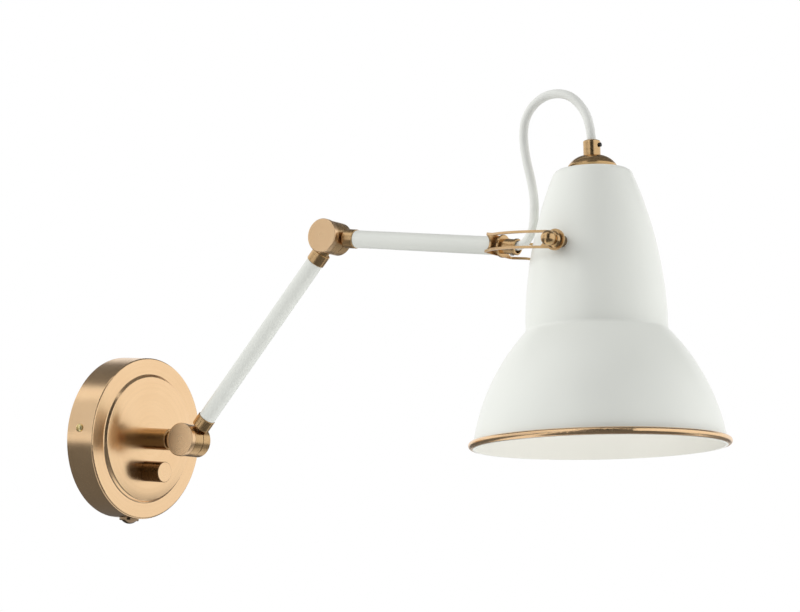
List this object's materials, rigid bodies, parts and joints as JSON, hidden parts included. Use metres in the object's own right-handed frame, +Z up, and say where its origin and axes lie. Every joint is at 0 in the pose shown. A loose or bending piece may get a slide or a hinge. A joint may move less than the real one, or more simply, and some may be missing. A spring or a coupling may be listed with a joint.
{
  "type": "wall lamp",
  "caption": "Articulating wall lamp: round rose with dimmer, tubular arms with knuckle joints, and a bell shade tilting in a sheet fork.",
  "frame": {"origin": "centre of the rose's back on the wall plane, midway between the two wall screws", "axes": "+Y into the wall, the lamp reaches out along -Y, +Z up, the hinge axes of the arms along X"},
  "size_m": [0.1696, 0.496, 0.3089],
  "materials": {
    "brass": "satin",
    "bright_brass": "polished",
    "dark_brass": "polished",
    "zinc_steel": "satin",
    "black_steel": "blackened",
    "white_paint": "satin",
    "white_shade": "satin",
    "white_flex": "matte",
    "lead_plastic": "matte",
    "white_plastic": "matte",
    "black_plastic": "satin",
    "black_fibre": "matte",
    "opal_glass": "opal"
  },
  "bodies": {
    "base": {"rose_cover": "brass", "wall_plate": "zinc_steel", "cover_side_screws": "bright_brass", "bottom_dome_screw": "dark_brass", "stem": "brass", "stem_washer": "zinc_steel", "stem_nut": "zinc_steel", "stem_retainer_screw": "zinc_steel", "terminal_block": "white_plastic", "terminal_screws": "bright_brass", "rose_leads": "lead_plastic", "dimmer_body": "black_plastic", "dimmer_nut": "zinc_steel", "swivel_washer": "black_fibre"},
    "dimmer": {"dimmer_shaft": "zinc_steel", "dimmer_knob": "brass"},
    "swivel": {"shoulder_knuckle": "brass"},
    "lower_arm": {"lower_arm_root": "brass", "shoulder_pivot_bolt": "brass", "shoulder_friction_washers": "black_fibre", "lower_arm_tube": "white_paint", "elbow_knuckle": "brass", "lower_arm_flex": "white_flex"},
    "upper_arm": {"upper_arm_root": "brass", "elbow_pivot_bolt": "brass", "elbow_friction_washers": "black_fibre", "upper_arm_tube": "white_paint", "upper_arm_plug": "brass", "upper_arm_flex": "white_flex"},
    "fork": {"fork_bracket": "brass", "fork_nipple": "brass", "fork_circlip": "zinc_steel", "swivel_fibre_washer": "black_fibre", "fork_spring_washer": "zinc_steel", "fork_flange_nut": "brass", "cord_barrel": "brass", "barrel_grub_screw": "zinc_steel"},
    "shade": {"shade_shell": "white_shade", "rim_trim": "brass", "shade_cap": "brass", "cord_gland": "brass", "gland_grub_screw": "black_steel", "holder_nipple": "brass", "holder_nut": "zinc_steel", "lampholder_cap": "black_plastic", "lampholder_body": "black_plastic", "shell_contact": "bright_brass", "centre_contact": "bright_brass", "bulb_base": "zinc_steel", "bulb_glass": "opal_glass", "pivot_bushes": "brass", "pivot_bush_nuts": "zinc_steel", "pivot_washers": "black_fibre", "flex_cord": "white_flex"},
    "left_knob": {"left_pivot_knob": "brass"},
    "right_knob": {"right_pivot_knob": "brass"}
  },
  "joints": [
    {"name": "dimmer_turn", "type": "hinge", "parent": "base", "child": "dimmer", "pos_m": [0, -0.036, -0.024], "axis": [0, -1, 0], "range_deg": [0, 270]},
    {"name": "base_swivel", "type": "hinge", "parent": "base", "child": "swivel", "pos_m": [0, -0.047, 0], "axis": [0, -1, 0], "range_deg": [-90, 90]},
    {"name": "shoulder_hinge", "type": "hinge", "parent": "swivel", "child": "lower_arm", "pos_m": [0, -0.067, 0], "axis": [-1, 0, 0], "range_deg": [-72, 28]},
    {"name": "elbow_hinge", "type": "hinge", "parent": "lower_arm", "child": "upper_arm", "pos_m": [0, -0.18212, 0.14787], "axis": [-1, 0, 0], "range_deg": [-55, 55]},
    {"name": "fork_swivel", "type": "hinge", "parent": "upper_arm", "child": "fork", "pos_m": [0, -0.32331, 0.14023], "axis": [0, -0.9985, -0.0541], "range_deg": [-90, 90]},
    {"name": "shade_tilt", "type": "hinge", "parent": "fork", "child": "shade", "pos_m": [0, -0.3982, 0.13617], "axis": [-1, 0, 0], "range_deg": [-35, 30], "deforming": ["flex_cord"]},
    {"name": "left_knob_turn", "type": "hinge", "parent": "shade", "child": "left_knob", "pos_m": [-0.055, -0.3982, 0.13617], "axis": [-1, 0, 0], "range_deg": [0, 180]},
    {"name": "right_knob_turn", "type": "hinge", "parent": "shade", "child": "right_knob", "pos_m": [0.055, -0.3982, 0.13617], "axis": [1, 0, 0], "range_deg": [0, 180]}
  ]
}
